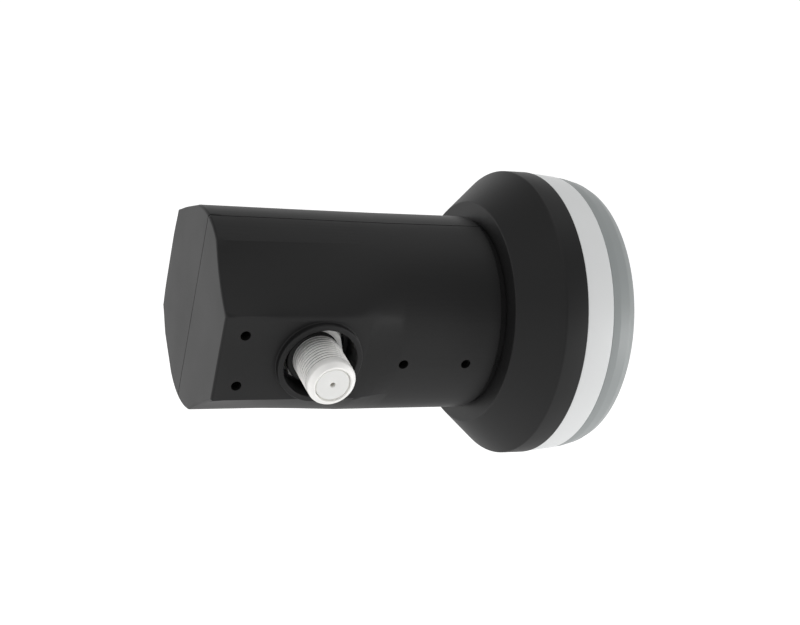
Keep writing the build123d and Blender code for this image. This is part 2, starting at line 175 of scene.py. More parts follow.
def operator_pair(operation: str) -> tuple[Callable, Callable]:
    """Makes the methods of one operator.

    Args:
        operation: The Math node's operation.

    Returns:
        The method for a signal on the left, and its reflected form.
    """

    def forward(self: "Signal", other: "Number") -> "Signal":
        """The operation with the signal first."""
        return self.graph.math(operation, self, other)

    def reflected(self: "Signal", other: "Number") -> "Signal":
        """The operation with the signal second."""
        return self.graph.math(operation, other, self)

    return forward, reflected


class Signal:
    """A number in a node tree; arithmetic on it adds Math nodes."""

    def __init__(self, graph: "NodeGraph", socket: Socket) -> None:
        """Keeps the tree and the socket that carries the number."""
        self.graph = graph
        self.socket = socket

    __add__, __radd__ = operator_pair("ADD")
    __sub__, __rsub__ = operator_pair("SUBTRACT")
    __mul__, __rmul__ = operator_pair("MULTIPLY")
    __truediv__, __rtruediv__ = operator_pair("DIVIDE")

    def fraction(self) -> "Signal":
        """The part after the decimal point."""
        return self.graph.math("FRACT", self)

    def size(self) -> "Signal":
        """The number without its sign."""
        return self.graph.math("ABSOLUTE", self)

    def sine(self) -> "Signal":
        """The sine of the number, in radians."""
        return self.graph.math("SINE", self)

    def cosine(self) -> "Signal":
        """The cosine of the number, in radians."""
        return self.graph.math("COSINE", self)

    def swing(self) -> "Signal":
        """A number from 0 to 1 as a swing about its middle."""
        return self - 0.5

    def clamped(self) -> "Signal":
        """The number held between 0 and 1."""
        return self.graph.math("MINIMUM", self.graph.math("MAXIMUM", self, 0.0), 1.0)

    def ease(self) -> "Signal":
        """The number held between 0 and 1 and eased at both ends."""
        held = self.clamped()
        return held * held * (3.0 - 2.0 * held)


Number = Union[Signal, float]


class NodeGraph:
    """A node tree that nodes are added to in one way."""

    def __init__(self, tree: bpy.types.NodeTree) -> None:
        """Keeps the tree."""
        self.tree = tree

    def node(
        self,
        kind: str,
        settings: Mapping[str, Any] | None = None,
        sockets: Mapping[Union[str, int], Any] | None = None,
    ) -> bpy.types.Node:
        """Adds a node, sets its settings and then feeds its sockets.

        Args:
            kind: The node's type name.
            settings: Attributes of the node; "stops" is a colour ramp's list of place and colour.
            sockets: Values, signals or sockets for its inputs, by name or number.

        Returns:
            The new node.
        """
        node = self.tree.nodes.new(kind)
        for name, value in (settings or {}).items():
            if name == "stops":
                self._set_stops(node.color_ramp, value)
            else:
                setattr(node, name, value)
        for key, value in (sockets or {}).items():
            self.feed(node.inputs[key], value)
        return node

    def feed(self, socket: Socket, value: Any) -> None:
        """Links a signal or socket into an input, or sets the input's own value.

        Args:
            socket: The input.
            value: A signal, an output socket or a plain value.
        """
        if isinstance(value, Signal):
            self.tree.links.new(value.socket, socket)
        elif isinstance(value, Socket):
            self.tree.links.new(value, socket)
        else:
            socket.default_value = value

    def math(self, operation: str, first: Number, second: Number = 0.0) -> Signal:
        """Adds a Math node."""
        return self.signal(self.node("ShaderNodeMath", {"operation": operation}, {0: first, 1: second}))

    def signal(self, node: bpy.types.Node, output: Union[str, int] = 0) -> Signal:
        """One of a node's outputs as a signal."""
        return Signal(self, node.outputs[output])

    def part(self, vector: Socket, axis: int) -> Signal:
        """One coordinate of a vector, by its number."""
        return self.signal(self.node("ShaderNodeSeparateXYZ", None, {0: vector}), axis)

    @staticmethod
    def _set_stops(ramp: bpy.types.ColorRamp, stops: Sequence[tuple[float, Colour]]) -> None:
        """Gives a colour ramp its stops.

        Args:
            ramp: The ramp.
            stops: The place and colour of each stop.
        """
        while len(ramp.elements) < len(stops):
            ramp.elements.new(1.0)
        for element, (place, colour) in zip(ramp.elements, stops):
            element.position = place
            element.color = (*colour, 1.0)


class ShaderGraph(NodeGraph):
    """The tree of a material or a world, with the textures that the finishes share."""

    def place(self, scale: Place = (1.0, 1.0, 1.0)) -> Socket:
        """Object coordinates, stretched along each axis."""
        where = self.node("ShaderNodeTexCoord").outputs["Object"]
        return self.node("ShaderNodeMapping", None, {"Vector": where, "Scale": scale}).outputs[0]

    def distance(self, vector: Socket, point: Place) -> Signal:
        """How far a vector is from a point."""
        node = self.node("ShaderNodeVectorMath", {"operation": "DISTANCE"}, {0: vector, 1: point})
        return self.signal(node, "Value")

    def noise(self, vector: Socket, scale: float, detail: float) -> Signal:
        """Adds a noise texture."""
        given = {"Vector": vector, "Scale": scale, "Detail": detail}
        return self.signal(self.node("ShaderNodeTexNoise", None, given))

    def blend(self, share: Number, first: Colour, second: Colour) -> Socket:
        """Mixes two colours."""
        colours = {0: share, 6: (*first, 1.0), 7: (*second, 1.0)}
        return self.node("ShaderNodeMix", {"data_type": "RGBA"}, colours).outputs[2]

    def bump(self, height: Signal, distance: float, strength: float) -> Socket:
        """Turns a height into a normal."""
        relief = {"Strength": strength, "Distance": distance, "Height": height}
        return self.node("ShaderNodeBump", None, relief).outputs[0]


def new_material(name: str) -> tuple[bpy.types.Material, ShaderGraph]:
    """Makes a material with an empty tree.

    Args:
        name: The material's name.

    Returns:
        The material, and the graph that fills its tree.
    """
    material = bpy.data.materials.new(name)
    material.use_nodes = True
    material.node_tree.nodes.clear()
    return material, ShaderGraph(material.node_tree)


def scaled(colour: Colour, factor: float) -> Colour:
    """A linear colour made lighter or darker, with each channel held to at most 1."""
    return tuple(min(1.0, channel * factor) for channel in colour)


@dataclass(frozen=True)
class Pattern:
    """A noise on a surface: scale per metre, octaves, its swing in the roughness and how it is squeezed."""

    scale: float
    octaves: float
    gloss: float = 0.0
    squeeze: Place = (1.0, 1.0, 1.0)

    def on(self, graph: ShaderGraph) -> Signal:
        """The pattern in a material's tree."""
        return graph.noise(graph.place(self.squeeze), self.scale, self.octaves)


@dataclass(frozen=True)
class Finish:
    """A surface that one material slot has; each kind paints its own nodes."""

    slot: Slot
    colour: Colour
    roughness: float
    ior: float = 1.45
    metallic: float = 0.0

    def material(self) -> bpy.types.Material:
        """The slot's material, made the first time it is asked for.

        Returns:
            The material.
        """
        name = f"lnb_{self.slot.value}"
        known = bpy.data.materials.get(name)
        if known:
            return known
        material, graph = new_material(name)
        constants = {"IOR": self.ior, "Metallic": self.metallic, "Roughness": self.roughness}
        shader = graph.node("ShaderNodeBsdfPrincipled", None, constants)
        for socket, value in self.paint(graph).items():
            graph.feed(shader.inputs[socket], value)
        graph.node("ShaderNodeOutputMaterial", None, {"Surface": shader.outputs[0]})
        return material

    def paint(self, graph: ShaderGraph) -> dict[str, Any]:
        """Adds the nodes of the finish; each kind has its own.

        Args:
            graph: The material's tree.

        Returns:
            What feeds each input of the shader that varies over the surface.
        """
        raise NotImplementedError


@dataclass(frozen=True, kw_only=True)
class Textured(Finish):
    """A surface with a slow pattern in its tone and a fine one in its relief."""

    tone: Pattern
    relief: Pattern
    tones: tuple[float, float]
    height: float
    strength: float

    def paint(self, graph: ShaderGraph) -> dict[str, Any]:
        """Both patterns swing the roughness.

        Args:
            graph: The material's tree.

        Returns:
            What feeds the shader's inputs.
        """
        tone, relief = self.tone.on(graph), self.relief.on(graph)
        swings = tone.swing() * self.tone.gloss + relief.swing() * self.relief.gloss
        return {
            "Base Color": self.tint(graph, tone),
            "Roughness": swings + self.roughness,
            "Normal": graph.bump(relief, self.height, self.strength),
        }

    def tint(self, graph: ShaderGraph, tone: Signal) -> Socket:
        """The colour between its darker and its lighter tone."""
        dark, light = self.tones
        return graph.blend(tone, scaled(self.colour, dark), scaled(self.colour, light))


@dataclass(frozen=True, kw_only=True)
class MouldedPlastic(Textured):
    """Injection-moulded plastic: a faint flow mottle and fine spark-eroded grain."""

    tone: Pattern = Pattern(70.0, 3.0, 0.12, (0.35, 1.0, 1.0))
    relief: Pattern = Pattern(5200.0, 2.0, 0.06)
    tones: tuple[float, float] = (0.9, 1.1)
    height: float = 0.000012
    strength: float = 0.35


@dataclass(frozen=True, kw_only=True)
class PlatedMetal(Textured):
    """Plated turned metal: slight unevenness in the plate and fine lathe marks across its axis."""

    metallic: float = 1.0
    tone: Pattern = Pattern(420.0, 3.0, 0.10)
    relief: Pattern = Pattern(2600.0, 2.0, 0.12, (0.05, 1.0, 0.05))
    tones: tuple[float, float] = (0.93, 1.05)
    height: float = 0.000004
    strength: float = 0.5


@dataclass(frozen=True, kw_only=True)
class ThreadedPlate(PlatedMetal):
    """Plated metal with painted shade darkening its thread's grooves; its sizes are in mm."""

    # Painted shade in the grooves: the depth below the crest where it starts, the depth over which it
    # deepens, its fade at the thread's top end and its strength
    unshaded_depth: float = 0.04
    groove_shade_depth: float = 0.18
    end_fade: float = 0.3
    groove_shade: float = 0.9

    def tint(self, graph: ShaderGraph, tone: Signal) -> Socket:
        """The plate's tones, with painted shade darkening them below the thread's crests.

        Args:
            graph: The material's tree.
            tone: The unevenness of the plate.

        Returns:
            The colour's socket.
        """
        dark, light = self.tones
        crest = (LAYOUT.thread_radius - self.unshaded_depth) * MM
        away = graph.distance(graph.place((1.0, 0.0, 1.0)), (LAYOUT.connector * MM, 0.0, 0.0))
        below = ((crest - away) / (self.groove_shade_depth * MM)).ease()
        inside = ((graph.part(graph.place(), 1) + LAYOUT.thread_top * MM) / (self.end_fade * MM)).clamped()
        # Painted shade: the colour darkens below the crests and fades out towards the thread's top end
        share = (tone * (light - dark) + dark) * (1.0 - below * inside * self.groove_shade)
        return graph.blend(share, (0.0, 0.0, 0.0), self.colour)


@dataclass(frozen=True, kw_only=True)
class CastMetal(Textured):
    """Die-cast light alloy: paler flow marks and a sandy skin."""

    metallic: float = 1.0
    tone: Pattern = Pattern(160.0, 4.0)
    relief: Pattern = Pattern(2400.0, 3.0, 0.25)
    tones: tuple[float, float] = (0.8, 1.15)
    height: float = 0.00003
    strength: float = 0.4


@dataclass(frozen=True, kw_only=True)
class Rubber(Textured):
    """Moulded rubber: dull, with dusty patches."""

    tone: Pattern = Pattern(300.0, 4.0, 0.2)
    relief: Pattern = Pattern(3800.0, 1.0)
    tones: tuple[float, float] = (1.0, 1.8)
    height: float = 0.00002
    strength: float = 0.3


@dataclass(frozen=True, kw_only=True)
class Laminate(Finish):
    """Masked circuit board: copper runs show through the mask as slightly paler, raised lines."""

    copper: Colour = (0.16, 0.30, 0.12)
    shade: float = 0.85
    offset: float = 0.37
    squash: float = 1.6
    scale: float = 260.0
    run_width: float = 0.05
    run_gloss: float = -0.12
    run_height: float = 0.00003
    run_strength: float = 0.6

    def paint(self, graph: ShaderGraph) -> dict[str, Any]:
        """A brick pattern lays the runs.

        Args:
            graph: The material's tree.

        Returns:
            What feeds the shader's inputs.
        """
        layout = {
            "Vector": graph.place((1.0, 0.0, 1.0)),
            "Color1": (*self.colour, 1.0),
            "Color2": (*scaled(self.colour, self.shade), 1.0),
            "Mortar": (*self.copper, 1.0),
            "Scale": self.scale,
            "Mortar Size": self.run_width,
        }
        bricks = graph.node("ShaderNodeTexBrick", {"offset": self.offset, "squash": self.squash}, layout)
        runs = graph.signal(bricks, "Fac")
        return {
            "Base Color": bricks.outputs["Color"],
            "Roughness": runs * self.run_gloss + self.roughness,
            "Normal": graph.bump(runs, self.run_height, self.run_strength),
        }


@dataclass(frozen=True, kw_only=True)
class Ceramic(Finish):
    """Fired ceramic: speckled and dry."""

    speckle: Pattern = Pattern(3000.0, 4.0, 0.2)
    stops: tuple[tuple[float, float], ...] = ((0.35, 0.7), (0.65, 1.2))

    def paint(self, graph: ShaderGraph) -> dict[str, Any]:
        """Speckle sets colour and roughness.

        Args:
            graph: The material's tree.

        Returns:
            What feeds the shader's inputs.
        """
        speckle = self.speckle.on(graph)
        stops = [(place, scaled(self.colour, tone)) for place, tone in self.stops]
        ramp = graph.node("ShaderNodeValToRGB", {"stops": stops}, {0: speckle})
        return {
            "Base Color": ramp.outputs[0],
            "Roughness": speckle.swing() * self.speckle.gloss + self.roughness,
        }


FINISHES: dict[Slot, Finish] = {
    finish.slot: finish
    for finish in (
        MouldedPlastic(Slot.BLACK_HOUSING, (0.0092, 0.0092, 0.0094), 0.50, ior=1.36),
        MouldedPlastic(Slot.WHITE_RING, (0.785, 0.795, 0.795), 0.42, strength=0.2, tones=(0.98, 1.02)),
        MouldedPlastic(Slot.GREY_CAP, (0.305, 0.325, 0.325), 0.42, strength=0.04, tones=(0.97, 1.03)),
        ThreadedPlate(Slot.NICKEL_PLATE, (0.95, 0.945, 0.93), 0.75),
        MouldedPlastic(Slot.WHITE_INSULATOR, (0.92, 0.92, 0.90), 0.38, strength=0.1, tones=(0.98, 1.02)),
        PlatedMetal(Slot.GOLD_PLATE, (0.83, 0.60, 0.26), 0.24),
        Rubber(Slot.BLACK_RUBBER, (0.012, 0.012, 0.012), 0.72),
        CastMetal(Slot.DIE_CAST, (0.56, 0.56, 0.55), 0.5),
        PlatedMetal(Slot.STEEL, (0.60, 0.60, 0.58), 0.34),
        Laminate(Slot.BOARD_LAMINATE, (0.02, 0.13, 0.05), 0.42),
        MouldedPlastic(
            Slot.CHIP_BODY, (0.02, 0.02, 0.021), 0.55, relief=Pattern(3600.0, 2.0, 0.06), tones=(0.85, 1.15)
        ),
        Ceramic(Slot.CERAMIC, (0.48, 0.40, 0.31), 0.6),
    )
}


def eased(share: float) -> float:
    """A share held between 0 and 1 that starts and ends softly."""
    held = min(1.0, max(0.0, share))
    return held * held * (3.0 - 2.0 * held)


def linked(name: str, data: Any) -> bpy.types.Object:
    """Puts a new object in the scene.

    Args:
        name: The object's name.
        data: Its mesh, lamp or camera.

    Returns:
        The object.
    """
    thing = bpy.data.objects.new(name, data)
    bpy.context.scene.collection.objects.link(thing)
    return thing


def modified_mesh(holder: bpy.types.Object) -> Mesh:
    """Makes a plain mesh of what an object's modifiers give.

    Args:
        holder: The object, which is removed with its modifiers.

    Returns:
        The mesh.
    """
    result = bpy.data.meshes.new_from_object(holder.evaluated_get(bpy.context.evaluated_depsgraph_get()))
    holder.modifiers.clear()
    bpy.data.objects.remove(holder)
    return result


def finished_mesh(name: str, shape: Shape, sharp_angle: float, merge: bool = True) -> Mesh:
    """Turns a shape into a smooth mesh with sharp edges.

    Args:
        name: The mesh's name.
        shape: The shape, which is freed.
        sharp_angle: The angle in degrees past which an edge stays sharp.
        merge: Whether doubles are merged and faces turned outwards first.

    Returns:
        The mesh.
    """
    if merge:
        bmesh.ops.remove_doubles(shape, verts=shape.verts, dist=FINE_WELD)
        bmesh.ops.recalc_face_normals(shape, faces=shape.faces)
    mesh = bpy.data.meshes.new(name)
    shape.to_mesh(mesh)
    shape.free()
    mesh.polygons.foreach_set("use_smooth", [True] * len(mesh.polygons))
    mesh.set_sharp_from_angle(angle=math.radians(sharp_angle))
    return mesh


def joined(name: str, meshes: Sequence[Mesh]) -> Mesh:
    """Joins meshes into one and removes the originals.

    Args:
        name: The new mesh's name.
        meshes: What is joined.

    Returns:
        The joined mesh.
    """
    shape = bmesh.new()
    for mesh in meshes:
        shape.from_mesh(mesh)
    result = bpy.data.meshes.new(name)
    shape.to_mesh(result)
    shape.free()
    for mesh in meshes:
        bpy.data.meshes.remove(mesh)
    return result


def add_piece(name: str, mesh: Mesh, slot: Slot, *nodes: str) -> None:
    """Puts a finished mesh in the scene as a piece of the part.

    Args:
        name: The piece's name.
        mesh: Its mesh, in place.
        slot: The finish that it takes.
        nodes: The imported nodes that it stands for.
    """
    mesh.materials.clear()
    mesh.materials.append(FINISHES[slot].material())
    piece = linked(name, mesh)
    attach(piece, BODY)
    if nodes:
        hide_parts(*nodes)
    log.info("%s: %d faces for %s", name, len(mesh.polygons), ", ".join(nodes) or "no node")


@dataclass(frozen=True)
class Corner:
    """One corner of a turned profile: its place along the axis, its radius and its rounding, in mm."""

    along: float
    radius: float
    rounding: float = 0.0


def rounded(corners: Sequence[Corner], steps: int = 6) -> list[tuple[float, float]]:
    """Rounds the corners of a closed profile.

    Args:
        corners: The profile's corners, in order.
        steps: Points in each rounding.

    Returns:
        Places along the axis and radii, in mm.
    """
    points: list[tuple[float, float]] = []
    count = len(corners)
    for number, corner in enumerate(corners):
        here = Vector((corner.along, corner.radius))
        if not corner.rounding:
            points.append((here.x, here.y))
            continue
        before = corners[number - 1]
        after = corners[(number + 1) % count]
        back = (Vector((before.along, before.radius)) - here).normalized()
        ahead = (Vector((after.along, after.radius)) - here).normalized()
        half = math.acos(max(-1.0, min(1.0, back.dot(ahead)))) / 2
        reach = corner.rounding / math.tan(half)
        centre = here + (back + ahead).normalized() * (corner.rounding / math.sin(half))
        start = here + back * reach - centre
        end = here + ahead * reach - centre
        sweep = start.angle_signed(end)
        for step in range(steps + 1):
            turned = start.copy()
            turned.rotate(Matrix.Rotation(-sweep * step / steps, 2))
            points.append((centre.x + turned.x, centre.y + turned.y))
    return points


@dataclass(frozen=True)
class Lathe:
    """Turns closed profiles into meshes."""

    steps: int = 192
    sharp_angle: float = 32.0

    @staticmethod
    def point(turn: Turn, along: float, radius: float, angle: float) -> Vector:
        """A point of a turned form, in metres.

        Args:
            turn: The axis that it goes round.
            along: Its place along the axis, in mm.
            radius: Its distance from the axis, in mm.
            angle: Its angle, in radians.

        Returns:
            The point.
        """
        across, up = radius * math.cos(angle), radius * math.sin(angle)
        if turn is Turn.BORESIGHT:
            return Vector((along, across, up)) * MM
        return Vector((LAYOUT.connector + across, -along, up)) * MM

    def turned(self, name: str, profile: Profile, turn: Turn) -> Mesh:
        """Turns a closed profile, of places along an axis and radii in mm, round that axis."""
        return self.swept(name, lambda angle: profile, turn, self.steps, self.sharp_angle)

    def swept(
        self,
        name: str,
        profile_at: Callable[[float], Profile],
        turn: Turn,
        steps: int,
        sharp_angle: float,
        start: float = 0.0,
    ) -> Mesh:
        """Turns a closed profile that may change on its way round.

        Args:
            name: The mesh's name.
            profile_at: Gives the profile at an angle from the start.
            turn: The axis.
            steps: How many profiles there are.
            sharp_angle: The angle in degrees past which an edge stays sharp.
            start: The angle of the first profile, in radians.

        Returns:
            The mesh.
        """
        shape = bmesh.new()
        rings = []
        for step in range(steps):
            angle = 2 * math.pi * step / steps
            places = [self.point(turn, along, radius, start + angle) for along, radius in profile_at(angle)]
            rings.append([shape.verts.new(place) for place in places])
        for ring, following in zip(rings, [*rings[1:], rings[0]]):
            for number, vertex in enumerate(ring):
                beside = (number + 1) % len(ring)
                shape.faces.new((vertex, ring[beside], following[beside], following[number]))
        return finished_mesh(name, shape, sharp_angle)


@dataclass
class Housing:
    """The two moulded shells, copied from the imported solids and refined, and the connector's collar."""

    nodes: Mapping[str, bpy.types.Object]
    lathe: Lathe
    shells: tuple[str, ...] = ("front_shell", "back_shell")
    sharp_angle: float = 24.0
    flat_weight: int = 80

    # The collar's skin, and its root that runs out below the flat's lower edge
    collar_hole: float = 7.27
    collar_radius: float = 8.43
    collar_floor: float = 15.0
    collar_top: float = 20.62
    collar_edge: float = 0.22
    collar_steps: int = 8
    lip_radius: float = 6.5
    lip_height: float = 0.4
    lip_edge: float = 0.1
    skin: float = 0.1
    flat_depth: float = 19.36
    flat_foot: float = 8.55
    root_reach: float = 0.25
    root_rounding: float = 0.225
    foot_slope: float = 1.2
    foot_fade: float = 0.5

    # The neck's end, turned down before the shroud
    neck_radius: float = 20.0
    relief_start: float = 9.5
    relief_run: float = 0.6
    relief_depth: float = 0.8
    relief_cuts: tuple[float, ...] = (9.5, 9.65, 9.8, 9.95, 10.1)

    # The back flat's edges: their Y and Z, and how far they move along each
    swell: float = -11.0
    flat_end: float = -18.6
    back_edges: tuple[tuple[float, float, float, float], ...] = (
        (20.1, -11.9, -0.4, 1.55),
        (20.1, 11.9, -0.6, 0.1),
    )
    back_edge_reach: float = 6.0

    # The crease above the connector's flat, which fades on its way to the neck
    fade_cuts: tuple[float, ...] = tuple(-45.0 + 2.0 * step for step in range(18))
    crease_cuts: tuple[float, ...] = (8.6, 9.1, 9.6, 10.6, 11.6, 12.8, 14.0, 15.4, 16.8)
    fade_heights: tuple[float, float] = (8.5, 18.2)
    fade_depth: float = 5.0
    fade_run: float = 10.0
    fade_rounds: int = 70
    crease_facing: Place = (0.0, -0.8, 0.6)
    facing_limit: float = 0.6
    own_weight: float = 1e3
    shortest_edge: float = 1e-4

    def build(self) -> None:
        """Builds and dresses both shells and the collar."""
        for node in self.shells:
            add_piece(f"moulded_{node}", self.shell(node), Slot.BLACK_HOUSING, node)
        add_piece("connector_collar", self.collar(), Slot.BLACK_HOUSING)

    def collar(self) -> Mesh:
        """The collar's moulded skin, with a rounded edge and a root that runs out into the flat.

        Returns:
            The collar's mesh.
        """
        within = self.collar_hole + self.skin
        outer = self.collar_radius + self.root_reach
        corners = [
            Corner(self.collar_floor - self.lip_height, within),
            Corner(self.collar_floor - self.lip_height, self.lip_radius),
            Corner(self.collar_floor, self.lip_radius, self.lip_edge),
            Corner(self.collar_floor, self.collar_hole),
            Corner(self.collar_top, self.collar_hole, self.collar_edge),
            Corner(self.collar_top, self.collar_radius, self.collar_edge),
            Corner(self.flat_depth, self.collar_radius, self.root_rounding),
            Corner(self.flat_depth, outer),
            Corner(self.flat_depth - self.skin, outer),
            Corner(self.flat_depth - self.skin, within),
        ]
        mesh = self.lathe.turned("connector_collar", rounded(corners, self.collar_steps), Turn.CONNECTOR)
        for vertex in mesh.vertices:
            below = max(0.0, -vertex.co.z / MM - self.flat_foot)
            foot = (self.flat_depth + self.foot_fade + vertex.co.y / MM) / self.foot_fade
            vertex.co.y += below * self.foot_slope * MM * min(1.0, max(0.0, foot))
        return mesh

    def shell(self, node: str) -> Mesh:
        """A merged copy of a packed shell, with its moulded details and normals that keep flat faces flat.

        Args:
            node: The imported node's name.

        Returns:
            The shell's mesh.
        """
        shape = bmesh.new()
        shape.from_mesh(self.nodes[node].data)
        bmesh.ops.remove_doubles(shape, verts=shape.verts, dist=WELD)
        planes = [(Vector((1.0, 0.0, 0.0)), along) for along in self.relief_cuts + self.fade_cuts]
        planes += [(Vector((0.0, 0.0, 1.0)), height) for height in self.crease_cuts]
        for across, place in planes:
            everything = [*shape.verts, *shape.edges, *shape.faces]
            point = across * place * MM
            bmesh.ops.bisect_plane(shape, geom=everything, dist=FINE_WELD, plane_co=point, plane_no=across)
        for vertex in shape.verts:
            vertex.co = self.relieved(self.settled(vertex.co / MM)) * MM
        shape.normal_update()
        fade = self.faded_normals(shape)
        mesh = finished_mesh(f"{node}_merged", shape, self.sharp_angle, merge=False)
        holder = linked(f"{node}_holder", mesh)
        weighted = holder.modifiers.new("flat faces first", "WEIGHTED_NORMAL")
        weighted.keep_sharp = True
        weighted.weight = self.flat_weight
        result = modified_mesh(holder)
        normals = [corner.vector.copy() for corner in result.corner_normals]
        for loop in result.loops:
            if loop.vertex_index in fade:
                share, normal = fade[loop.vertex_index]
                normals[loop.index] = normals[loop.index].lerp(normal, share).normalized()
        result.normals_split_custom_set([tuple(normal) for normal in normals])
        return result

    def relieved(self, place: Vector) -> Vector:
        """Moves a point in where the neck's end is turned down.

        Args:
            place: A point of the shell, in mm.

        Returns:
            The point in its new place.
        """
        radius = math.hypot(place.y, place.z)
        depth = self.relief_depth * eased((place.x - self.relief_start) / self.relief_run)
        allowed = self.neck_radius - depth
        if place.x <= self.relief_start or radius <= allowed:
            return place
        return Vector((place.x, place.y * allowed / radius, place.z * allowed / radius))

    def settled(self, place: Vector) -> Vector:
        """Moves a point with the back flat's edges, to where the rear outline turns.

        Args:
            place: A point of the shell, in mm.

        Returns:
            The point in its new place.
        """
        rearward = 1.0 - eased((place.x - self.flat_end) / (self.swell - self.flat_end))
        moved = place.copy()
        for edge_y, edge_z, shift_y, shift_z in self.back_edges:
            near = 1.0 - math.hypot(place.y - edge_y, place.z - edge_z) / self.back_edge_reach
            moved += Vector((0.0, shift_y, shift_z)) * eased(near) * rearward
        return moved

    def faded_normals(self, shape: Shape) -> dict[int, tuple[float, Vector]]:
        """Normals that let the crease above the connector's flat fade out on its way to the neck.

        Args:
            shape: The shell.

        Returns:
            For each vertex near the crease, how far it takes its new normal, and that normal.
        """
        first, last = self.fade_cuts[0] * MM, self.fade_cuts[-1] * MM
        low, high = (height * MM for height in self.fade_heights)
        facing = Vector(self.crease_facing)
        chosen = [
            vertex
            for vertex in shape.verts
            if first < vertex.co.x < last
            and vertex.co.y < -self.fade_depth * MM
            and low < vertex.co.z < high
            and vertex.normal.dot(facing) > self.facing_limit
        ]
        spread = {vertex.index: vertex.normal.copy() for vertex in shape.verts}
        for _ in range(self.fade_rounds):
            softer = {}
            for vertex in chosen:
                total = spread[vertex.index] * self.own_weight
                for edge in vertex.link_edges:
                    length = max(edge.calc_length(), self.shortest_edge)
                    total += spread[edge.other_vert(vertex).index] / length
                softer[vertex.index] = total.normalized()
            spread.update(softer)
        return {
            vertex.index: (eased((vertex.co.x - first) / (self.fade_run * MM)), spread[vertex.index])
            for vertex in chosen
        }


@dataclass
class HornEnd:
    """The flared shroud, the white ring and the grey cap."""

    lathe: Lathe

    socket_radius: float = 19.3
    rim_radius: float = 29.9
    flare_rise: float = 6.75
    shroud_wall: float = 2.0
    shoulder_rounding: float = 0.5
    rim_rounding: float = 0.7

    fit: float = 0.1
    joint_rounding: float = 0.12
    ring_step: float = 0.1
    ring_taper: float = 0.5
    ring_wall: float = 2.8
    ring_rounding: float = 0.3
    spigot_length: float = 3.4

    # The cap's side bulges at some shares of its length, each with a share of the taper
    cap_step: float = 0.1
    cap_taper: float = 1.6
    cap_bulge: tuple[tuple[float, float], ...] = ((0.3, 0.1), (0.7, 0.45))
    cap_wall: float = 2.0
    foot_rounding: float = 0.15
    side_rounding: float = 1.5
    front_rounding: float = 1.0
    skirt_wall: float = 1.6
    skirt_length: float = 6.0
    dome_steps: int = 24
    edge_steps: int = 2

    @property
    def ring_front_radius(self) -> float:
        """The ring's radius where it meets the cap."""
        return self.rim_radius - self.ring_step - self.ring_taper

    def build(self) -> None:
        """Builds and dresses the three pieces."""
        add_piece("flared_shroud", self.shroud(), Slot.BLACK_HOUSING, "horn_shroud")
        add_piece("white_cap_ring", self.ring(), Slot.WHITE_RING, "cap_ring")
        add_piece("grey_horn_cap", self.cap(), Slot.GREY_CAP, "horn_cap")

    def shroud(self) -> Mesh:
        """The socket on the neck, the flare and the band.

        Returns:
            The shroud's mesh.
        """
        shoulder_radius = self.rim_radius - self.flare_rise
        slope = self.flare_rise / LAYOUT.flare_length
        wall = self.shroud_wall * math.hypot(1.0, slope)
        bore = self.rim_radius - self.shroud_wall
        corners = [
            Corner(LAYOUT.shoulder, self.socket_radius),
            Corner(LAYOUT.shoulder, shoulder_radius, self.shoulder_rounding),
            Corner(LAYOUT.rim, self.rim_radius, self.rim_rounding),
            Corner(LAYOUT.band_end, self.rim_radius, self.joint_rounding),
            Corner(LAYOUT.band_end, bore),
            Corner(LAYOUT.rim + (wall - self.shroud_wall) / slope, bore),
            Corner(LAYOUT.neck_end, shoulder_radius + slope * LAYOUT.neck_socket - wall),
            Corner(LAYOUT.neck_end, self.socket_radius),
        ]
        return self.lathe.turned("flared_shroud", rounded(corners), Turn.BORESIGHT)

    def ring(self) -> Mesh:
        """The white ring with its spigot.

        Returns:
            The ring's mesh.
        """
        bore = self.ring_front_radius - self.ring_wall
        spigot = self.rim_radius - self.shroud_wall - self.fit
        corners = [
            Corner(LAYOUT.band_end - self.spigot_length, bore),
            Corner(LAYOUT.band_end - self.spigot_length, spigot),
            Corner(LAYOUT.band_end, spigot),
            Corner(LAYOUT.band_end, self.rim_radius - self.ring_step, self.joint_rounding),
            Corner(LAYOUT.ring_end, self.ring_front_radius, self.ring_rounding),
            Corner(LAYOUT.ring_end, bore),
        ]
        return self.lathe.turned("white_cap_ring", rounded(corners), Turn.BORESIGHT)

    def cap(self) -> Mesh:
        """The cap: tapered rim, shallow dome and a skirt inside the ring.

        Returns:
            The cap's mesh.
        """
        skirt = self.ring_front_radius - self.ring_wall - self.fit
        hollow = skirt - self.skirt_wall
        edge = self.ring_front_radius - self.cap_step
        front = edge - self.cap_taper
        ball = (front**2 + LAYOUT.cap_dome**2) / (2 * LAYOUT.cap_dome)

        def dome(top: float, radius: float) -> Corner:
            """A point of a dome with its top at a place along the boresight."""
            return Corner(top - ball + math.sqrt(ball**2 - radius**2), radius)

        foot = [
            Corner(LAYOUT.ring_end - self.skirt_length, hollow),
            Corner(LAYOUT.ring_end - self.skirt_length, skirt),
            Corner(LAYOUT.ring_end, skirt),
            Corner(LAYOUT.ring_end, edge, self.foot_rounding),
        ]
        side = [
            Corner(
                LAYOUT.ring_end + along * LAYOUT.cap_length, edge - drop * self.cap_taper, self.side_rounding
            )
            for along, drop in self.cap_bulge
        ]
        rim = Corner(LAYOUT.cap_edge, front, self.front_rounding)
        outside = [
            dome(LAYOUT.cap_front, front * step / self.dome_steps)
            for step in range(self.dome_steps - self.edge_steps, -1, -1)
        ]
        within = [
            dome(LAYOUT.cap_front - self.cap_wall, hollow * step / self.dome_steps)
            for step in range(self.dome_steps + 1)
        ]
        profile = rounded([*foot, *side, rim, *outside, *within])
        return self.lathe.turned("grey_horn_cap", profile, Turn.BORESIGHT)


